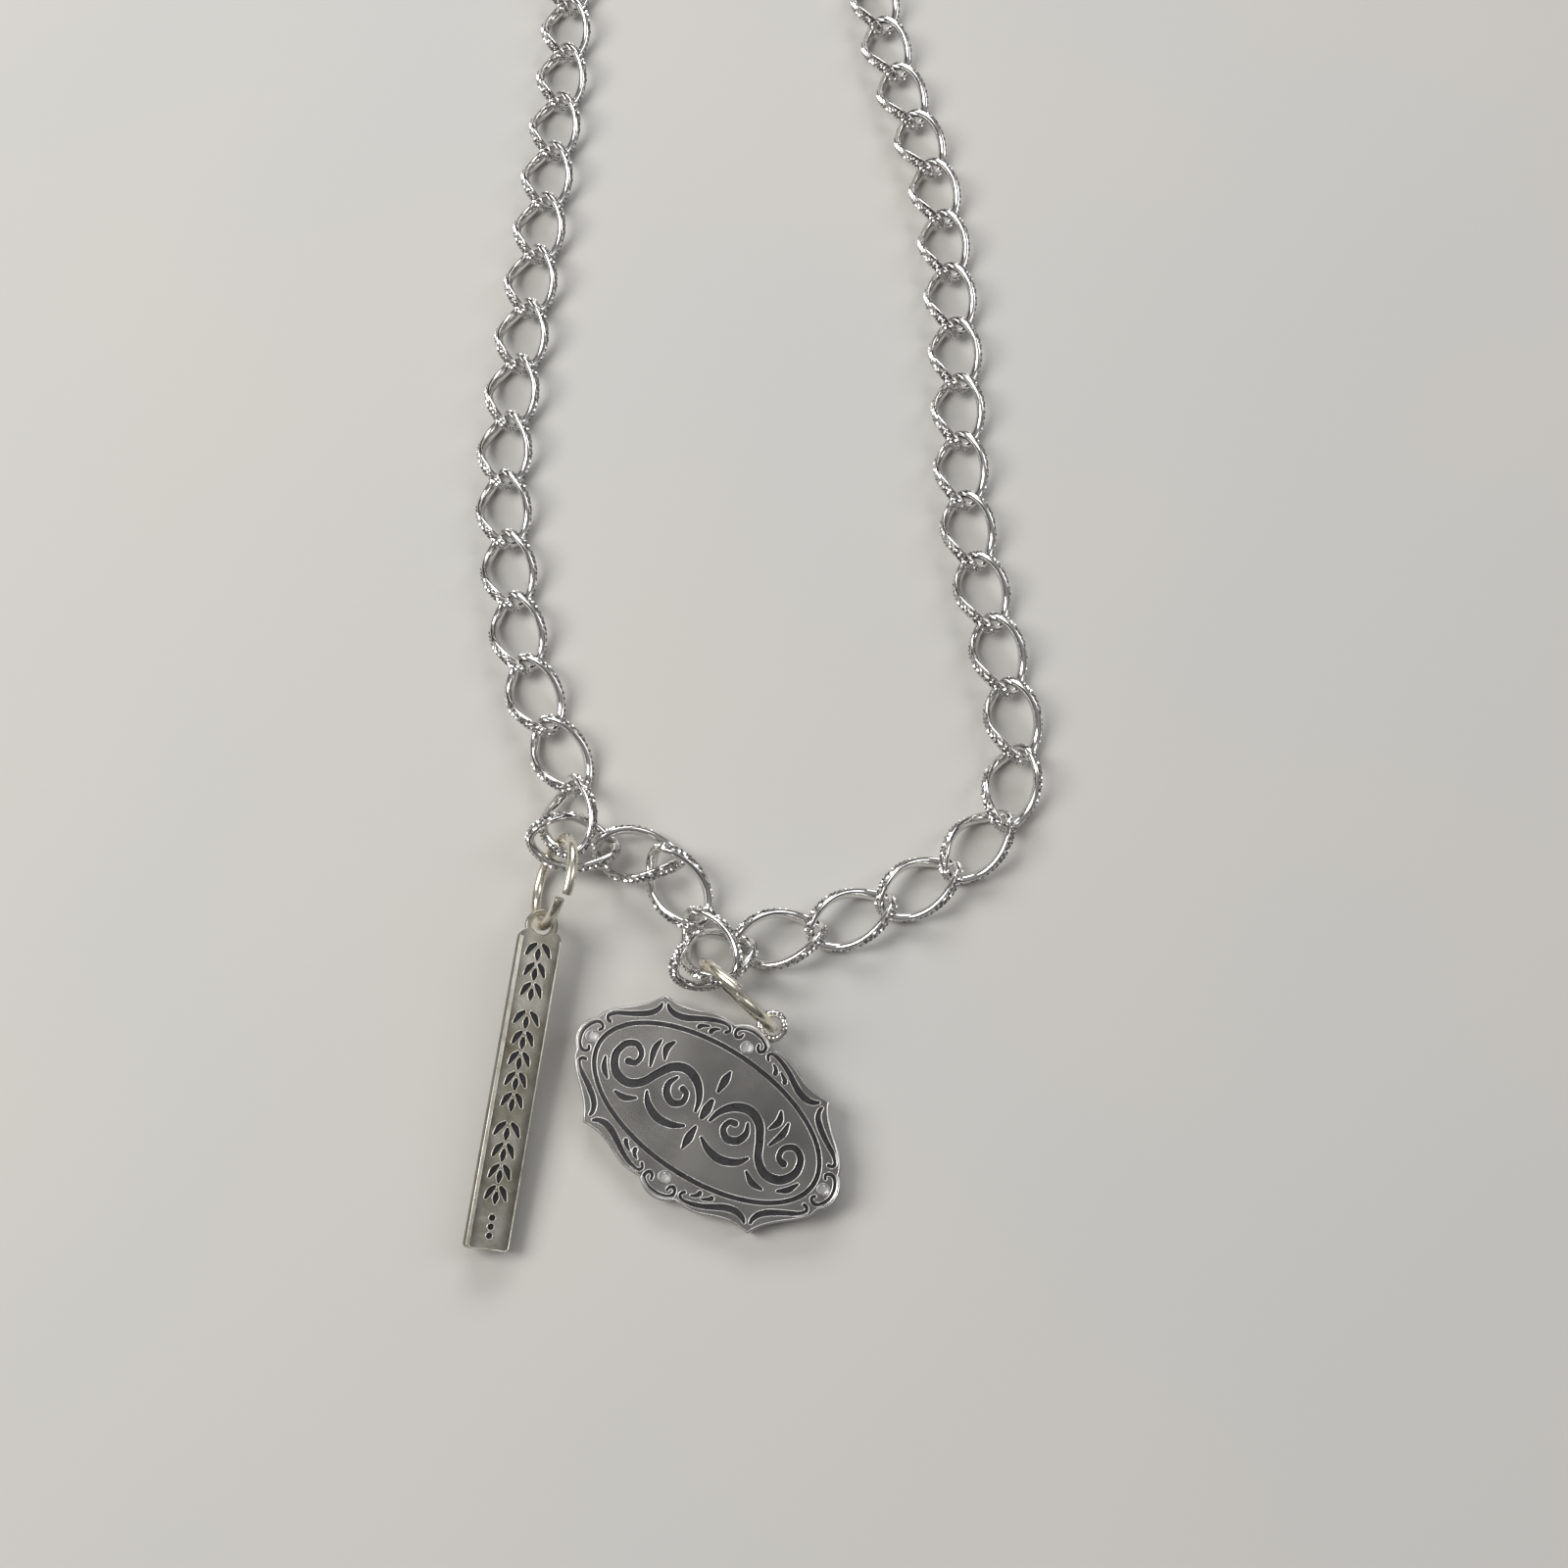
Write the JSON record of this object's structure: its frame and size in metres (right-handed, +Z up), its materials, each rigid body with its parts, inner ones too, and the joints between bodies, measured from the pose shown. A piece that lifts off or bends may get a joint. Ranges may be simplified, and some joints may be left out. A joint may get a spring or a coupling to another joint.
{
  "type": "pendant necklace",
  "caption": "Pendant necklace: a textured curb chain with linked links, an engraved bar charm and a stone-set plaque charm on cut jump rings, and a lever clasp.",
  "frame": {"origin": "centre of the footprint of the necklace as it lies, on the table", "axes": "+Z up from the table, +Y from the charms towards the clasp along the length of the laid-out chain, +X to the right seen from above"},
  "size_m": [0.0604, 0.2324, 0.0099],
  "materials": {
    "chain": "bright rhodium-plated silver, engraved on the outer side of each link",
    "jump_ring": "pale champagne plated wire, polished",
    "bar": "antiqued silver with a warm cast and black-filled engraving",
    "plaque": "satin grey metal with a polished rim and black-filled grooves",
    "crystal": "clear faceted crystal",
    "clasp": "bright polished rhodium-plated silver"
  },
  "bodies": {
    "link_left_01": {"link_left_01": "chain"},
    "link_left_02": {"link_left_02": "chain"},
    "link_left_03": {"link_left_03": "chain"},
    "link_left_04": {"link_left_04": "chain"},
    "link_left_05": {"link_left_05": "chain"},
    "link_left_06": {"link_left_06": "chain"},
    "link_left_07": {"link_left_07": "chain"},
    "link_left_08": {"link_left_08": "chain"},
    "link_left_09": {"link_left_09": "chain"},
    "link_left_10": {"link_left_10": "chain"},
    "link_left_11": {"link_left_11": "chain"},
    "link_left_12": {"link_left_12": "chain"},
    "link_left_13": {"link_left_13": "chain"},
    "link_left_14": {"link_left_14": "chain"},
    "link_left_15": {"link_left_15": "chain"},
    "segment_left_1": {"segment_left_1": "chain"},
    "segment_left_2": {"segment_left_2": "chain"},
    "segment_left_3": {"segment_left_3": "chain"},
    "link_right_01": {"link_right_01": "chain"},
    "link_right_02": {"link_right_02": "chain"},
    "link_right_03": {"link_right_03": "chain"},
    "link_right_04": {"link_right_04": "chain"},
    "link_right_05": {"link_right_05": "chain"},
    "link_right_06": {"link_right_06": "chain"},
    "link_right_07": {"link_right_07": "chain"},
    "link_right_08": {"link_right_08": "chain"},
    "link_right_09": {"link_right_09": "chain"},
    "link_right_10": {"link_right_10": "chain"},
    "link_right_11": {"link_right_11": "chain"},
    "link_right_12": {"link_right_12": "chain"},
    "link_right_13": {"link_right_13": "chain"},
    "link_right_14": {"link_right_14": "chain"},
    "link_right_15": {"link_right_15": "chain"},
    "link_right_16": {"link_right_16": "chain"},
    "link_right_17": {"link_right_17": "chain"},
    "link_right_18": {"link_right_18": "chain"},
    "link_right_19": {"link_right_19": "chain"},
    "link_right_20": {"link_right_20": "chain"},
    "segment_right_1": {"segment_right_1": "chain"},
    "segment_right_2": {"segment_right_2": "chain"},
    "segment_right_3": {"segment_right_3": "chain"},
    "link_bar_carrier": {"link_bar_carrier": "chain"},
    "link_bar_cross": {"link_bar_cross": "chain"},
    "link_middle_1": {"link_middle_1": "chain"},
    "link_middle_2": {"link_middle_2": "chain"},
    "link_plaque_carrier": {"link_plaque_carrier": "chain"},
    "link_plaque_cross": {"link_plaque_cross": "chain"},
    "jump_ring_bar": {"jump_ring_bar": "jump_ring"},
    "jump_ring_plaque": {"jump_ring_plaque": "jump_ring"},
    "bar_charm": {"bar_charm": "bar"},
    "clasp_ring": {"clasp_ring": "clasp"},
    "end_ring": {"end_ring": "clasp"},
    "clasp_lever": {"clasp_lever": "clasp"},
    "clasp_body": {"clasp_body": "clasp", "clasp_pin": "clasp"},
    "plaque_charm": {"plaque_charm": "plaque", "crystal_right": "crystal", "crystal_top": "crystal", "crystal_left": "crystal", "crystal_bottom": "crystal"}
  },
  "joints": [
    {"name": "bar_ring_swing", "type": "hinge", "parent": "link_bar_cross", "child": "jump_ring_bar", "pos_m": [-0.01998, -0.07863, 0.00238], "axis": [-0.8757, 0.1143, 0.4692], "range_deg": [-2, 12]},
    {"name": "bar_charm_swing", "type": "hinge", "parent": "jump_ring_bar", "child": "bar_charm", "pos_m": [-0.01978, -0.08602, 0.00391], "axis": [0.3295, -0.1146, 0.9372], "range_deg": [-45, 8]},
    {"name": "plaque_ring_swing", "type": "hinge", "parent": "link_plaque_cross", "child": "jump_ring_plaque", "pos_m": [-0.00286, -0.09102, 0.00235], "axis": [0.659, 0.7449, 0.1045], "range_deg": [-8, 3]},
    {"name": "plaque_charm_swing", "type": "hinge", "parent": "jump_ring_plaque", "child": "plaque_charm", "pos_m": [0.00247, -0.09568, 0.0033], "axis": [-0.0701, -0.108, 0.9917], "range_deg": [-5, 20]},
    {"name": "clasp_ring_swing", "type": "hinge", "parent": "segment_left_3", "child": "clasp_ring", "pos_m": [-0.01099, 0.10122, 0.00183], "axis": [0.8405, -0.5419, 0], "range_deg": [-25, 25]},
    {"name": "clasp_swing", "type": "hinge", "parent": "clasp_ring", "child": "clasp_body", "pos_m": [-0.00824, 0.10428, 0.00209], "axis": [0.9887, -0.1499, 0], "range_deg": [-15, 15]},
    {"name": "clasp_lever_open", "type": "hinge", "parent": "clasp_body", "child": "clasp_lever", "pos_m": [-0.00847, 0.10875, 0.00182], "axis": [-0.0092, -0.0604, -0.9981], "range_deg": [0, 22], "stiffness_Nm_per_rad": 0.0005},
    {"name": "end_ring_swing", "type": "hinge", "parent": "segment_right_3", "child": "end_ring", "pos_m": [-0.00011, 0.10569, 0.00183], "axis": [0.37, 0.929, 0], "range_deg": [-25, 25]},
    {"name": "link_middle_1_flex", "type": "hinge", "parent": "link_middle_2", "child": "link_middle_1", "pos_m": [-0.00826, -0.08004, 0.00245], "axis": [0.6558, 0.755, 0], "range_deg": [-15, 15]},
    {"name": "link_bar_cross_flex", "type": "hinge", "parent": "link_middle_1", "child": "link_bar_cross", "pos_m": [-0.01417, -0.07677, 0.00152], "axis": [-0.1435, -0.9897, 0], "range_deg": [-10, 15]},
    {"name": "link_bar_carrier_flex", "type": "hinge", "parent": "link_bar_cross", "child": "link_bar_carrier", "pos_m": [-0.01952, -0.07716, 0.00407], "axis": [-0.9764, -0.2159, 0], "range_deg": [-8, 15]},
    {"name": "link_left_01_flex", "type": "hinge", "parent": "link_bar_carrier", "child": "link_left_01", "pos_m": [-0.01782, -0.07107, 0.00196], "axis": [0.9819, 0.1894, 0], "range_deg": [-20, 20]},
    {"name": "link_left_02_flex", "type": "hinge", "parent": "link_left_01", "child": "link_left_02", "pos_m": [-0.021, -0.06441, 0.00163], "axis": [0.9112, 0.4119, 0], "range_deg": [-30, 30]},
    {"name": "link_left_03_flex", "type": "hinge", "parent": "link_left_02", "child": "link_left_03", "pos_m": [-0.02368, -0.05742, 0.00163], "axis": [-0.9579, -0.287, 0], "range_deg": [-30, 30]},
    {"name": "link_left_04_flex", "type": "hinge", "parent": "link_left_03", "child": "link_left_04", "pos_m": [-0.02517, -0.05008, 0.00159], "axis": [-0.9827, -0.1853, 0], "range_deg": [-30, 30]},
    {"name": "link_left_05_flex", "type": "hinge", "parent": "link_left_04", "child": "link_left_05", "pos_m": [-0.02633, -0.04273, 0.00159], "axis": [0.9914, 0.131, 0], "range_deg": [-30, 30]},
    {"name": "link_left_06_flex", "type": "hinge", "parent": "link_left_05", "child": "link_left_06", "pos_m": [-0.02721, -0.03535, 0.00163], "axis": [0.9991, 0.0436, 0], "range_deg": [-30, 30]},
    {"name": "link_left_07_flex", "type": "hinge", "parent": "link_left_06", "child": "link_left_07", "pos_m": [-0.02696, -0.02789, 0.00159], "axis": [-0.9986, 0.0536, 0], "range_deg": [-30, 30]},
    {"name": "link_left_08_flex", "type": "hinge", "parent": "link_left_07", "child": "link_left_08", "pos_m": [-0.02629, -0.02047, 0.00159], "axis": [-0.9964, 0.0848, 0], "range_deg": [-30, 30]},
    {"name": "link_left_09_flex", "type": "hinge", "parent": "link_left_08", "child": "link_left_09", "pos_m": [-0.02569, -0.01303, 0.00159], "axis": [0.9966, -0.0821, 0], "range_deg": [-30, 30]},
    {"name": "link_left_10_flex", "type": "hinge", "parent": "link_left_09", "child": "link_left_10", "pos_m": [-0.02507, -0.0056, 0.00159], "axis": [0.997, -0.077, 0], "range_deg": [-30, 30]},
    {"name": "link_left_11_flex", "type": "hinge", "parent": "link_left_10", "child": "link_left_11", "pos_m": [-0.02454, 0.00184, 0.00159], "axis": [-0.9976, 0.0686, 0], "range_deg": [-30, 30]},
    {"name": "link_left_12_flex", "type": "hinge", "parent": "link_left_11", "child": "link_left_12", "pos_m": [-0.02405, 0.00927, 0.00159], "axis": [-0.9973, 0.0738, 0], "range_deg": [-30, 30]},
    {"name": "link_left_13_flex", "type": "hinge", "parent": "link_left_12", "child": "link_left_13", "pos_m": [-0.02344, 0.01671, 0.00159], "axis": [0.9984, -0.0563, 0], "range_deg": [-30, 30]},
    {"name": "link_left_14_flex", "type": "hinge", "parent": "link_left_13", "child": "link_left_14", "pos_m": [-0.0232, 0.02418, 0.00159], "axis": [0.9998, -0.0196, 0], "range_deg": [-30, 30]},
    {"name": "link_left_15_flex", "type": "hinge", "parent": "link_left_14", "child": "link_left_15", "pos_m": [-0.02315, 0.03163, 0.00159], "axis": [-1, 0.0036, 0], "range_deg": [-30, 30]},
    {"name": "segment_left_1_flex", "type": "hinge", "parent": "link_left_15", "child": "segment_left_1", "pos_m": [-0.02315, 0.03907, 0.00159], "axis": [-1, -0.0054, 0], "range_deg": [-30, 30]},
    {"name": "segment_left_2_flex", "type": "hinge", "parent": "segment_left_1", "child": "segment_left_2", "pos_m": [-0.02336, 0.06129, 0.00158], "axis": [1, 0.0048, 0], "range_deg": [-30, 30]},
    {"name": "segment_left_3_flex", "type": "hinge", "parent": "segment_left_2", "child": "segment_left_3", "pos_m": [-0.02277, 0.08359, 0.00159], "axis": [0.9605, -0.2782, 0], "range_deg": [-30, 30]},
    {"name": "link_plaque_carrier_flex", "type": "hinge", "parent": "link_middle_2", "child": "link_plaque_carrier", "pos_m": [-0.0053, -0.08515, 0.00162], "axis": [-0.8737, -0.4864, 0], "range_deg": [-15, 8]},
    {"name": "link_plaque_cross_flex", "type": "hinge", "parent": "link_plaque_carrier", "child": "link_plaque_cross", "pos_m": [-0.00312, -0.09025, 0.00342], "axis": [0.9769, 0.2139, 0], "range_deg": [-10, 3]},
    {"name": "link_right_01_flex", "type": "hinge", "parent": "link_plaque_cross", "child": "link_right_01", "pos_m": [-0.00048, -0.08752, 0.00127], "axis": [-0.3518, 0.9361, 0], "range_deg": [-12, 12]},
    {"name": "link_right_02_flex", "type": "hinge", "parent": "link_right_01", "child": "link_right_02", "pos_m": [0.00685, -0.08628, 0.00153], "axis": [0.2778, -0.9606, 0], "range_deg": [-15, 15]},
    {"name": "link_right_03_flex", "type": "hinge", "parent": "link_right_02", "child": "link_right_03", "pos_m": [0.0137, -0.08332, 0.00155], "axis": [0.424, -0.9057, 0], "range_deg": [-15, 15]},
    {"name": "link_right_04_flex", "type": "hinge", "parent": "link_right_03", "child": "link_right_04", "pos_m": [0.02035, -0.07991, 0.00153], "axis": [-0.5922, 0.8058, 0], "range_deg": [-15, 15]},
    {"name": "link_right_05_flex", "type": "hinge", "parent": "link_right_04", "child": "link_right_05", "pos_m": [0.02569, -0.07463, 0.00154], "axis": [-0.8556, 0.5177, 0], "range_deg": [-15, 15]},
    {"name": "link_right_06_flex", "type": "hinge", "parent": "link_right_05", "child": "link_right_06", "pos_m": [0.02784, -0.06738, 0.00153], "axis": [0.997, -0.0774, 0], "range_deg": [-15, 15]},
    {"name": "link_right_07_flex", "type": "hinge", "parent": "link_right_06", "child": "link_right_07", "pos_m": [0.02654, -0.05998, 0.00159], "axis": [0.9878, 0.1557, 0], "range_deg": [-15, 15]},
    {"name": "link_right_08_flex", "type": "hinge", "parent": "link_right_07", "child": "link_right_08", "pos_m": [0.02523, -0.05266, 0.00159], "axis": [-0.9827, -0.1854, 0], "range_deg": [-30, 30]},
    {"name": "link_right_09_flex", "type": "hinge", "parent": "link_right_08", "child": "link_right_09", "pos_m": [0.02378, -0.04537, 0.00159], "axis": [-0.9876, -0.1569, 0], "range_deg": [-30, 30]},
    {"name": "link_right_10_flex", "type": "hinge", "parent": "link_right_09", "child": "link_right_10", "pos_m": [0.02289, -0.03797, 0.00159], "axis": [0.9977, 0.0671, 0], "range_deg": [-30, 30]},
    {"name": "link_right_11_flex", "type": "hinge", "parent": "link_right_10", "child": "link_right_11", "pos_m": [0.02279, -0.03049, 0.00159], "axis": [1, 0.0031, 0], "range_deg": [-30, 30]},
    {"name": "link_right_12_flex", "type": "hinge", "parent": "link_right_11", "child": "link_right_12", "pos_m": [0.02286, -0.02303, 0.00159], "axis": [-1, -0.0055, 0], "range_deg": [-30, 30]},
    {"name": "link_right_13_flex", "type": "hinge", "parent": "link_right_12", "child": "link_right_13", "pos_m": [0.02271, -0.01558, 0.00159], "axis": [-0.9994, -0.0353, 0], "range_deg": [-30, 30]},
    {"name": "link_right_14_flex", "type": "hinge", "parent": "link_right_13", "child": "link_right_14", "pos_m": [0.02233, -0.00812, 0.00159], "axis": [0.998, 0.0633, 0], "range_deg": [-30, 30]},
    {"name": "link_right_15_flex", "type": "hinge", "parent": "link_right_14", "child": "link_right_15", "pos_m": [0.02177, -0.00069, 0.00159], "axis": [0.9944, 0.1055, 0], "range_deg": [-30, 30]},
    {"name": "link_right_16_flex", "type": "hinge", "parent": "link_right_15", "child": "link_right_16", "pos_m": [0.02099, 0.0067, 0.00155], "axis": [-0.9799, -0.1995, 0], "range_deg": [-30, 30]},
    {"name": "link_right_17_flex", "type": "hinge", "parent": "link_right_16", "child": "link_right_17", "pos_m": [0.01879, 0.01381, 0.00159], "axis": [-0.9656, -0.26, 0], "range_deg": [-30, 30]},
    {"name": "link_right_18_flex", "type": "hinge", "parent": "link_right_17", "child": "link_right_18", "pos_m": [0.01688, 0.021, 0.00159], "axis": [0.9717, 0.2364, 0], "range_deg": [-30, 30]},
    {"name": "link_right_19_flex", "type": "hinge", "parent": "link_right_18", "child": "link_right_19", "pos_m": [0.01527, 0.02828, 0.00159], "axis": [0.9855, 0.1696, 0], "range_deg": [-30, 30]},
    {"name": "link_right_20_flex", "type": "hinge", "parent": "link_right_19", "child": "link_right_20", "pos_m": [0.01437, 0.03569, 0.00159], "axis": [-0.995, -0.1003, 0], "range_deg": [-30, 30]},
    {"name": "segment_right_1_flex", "type": "hinge", "parent": "link_right_20", "child": "segment_right_1", "pos_m": [0.01379, 0.04311, 0.00159], "axis": [-0.9987, -0.05, 0], "range_deg": [-30, 30]},
    {"name": "segment_right_2_flex", "type": "hinge", "parent": "segment_right_1", "child": "segment_right_2", "pos_m": [0.01314, 0.06535, 0.00158], "axis": [0.9997, 0.023, 0], "range_deg": [-30, 30]},
    {"name": "segment_right_3_flex", "type": "hinge", "parent": "segment_right_2", "child": "segment_right_3", "pos_m": [0.0121, 0.08763, 0.00157], "axis": [0.9466, 0.3223, 0], "range_deg": [-30, 30]}
  ]
}
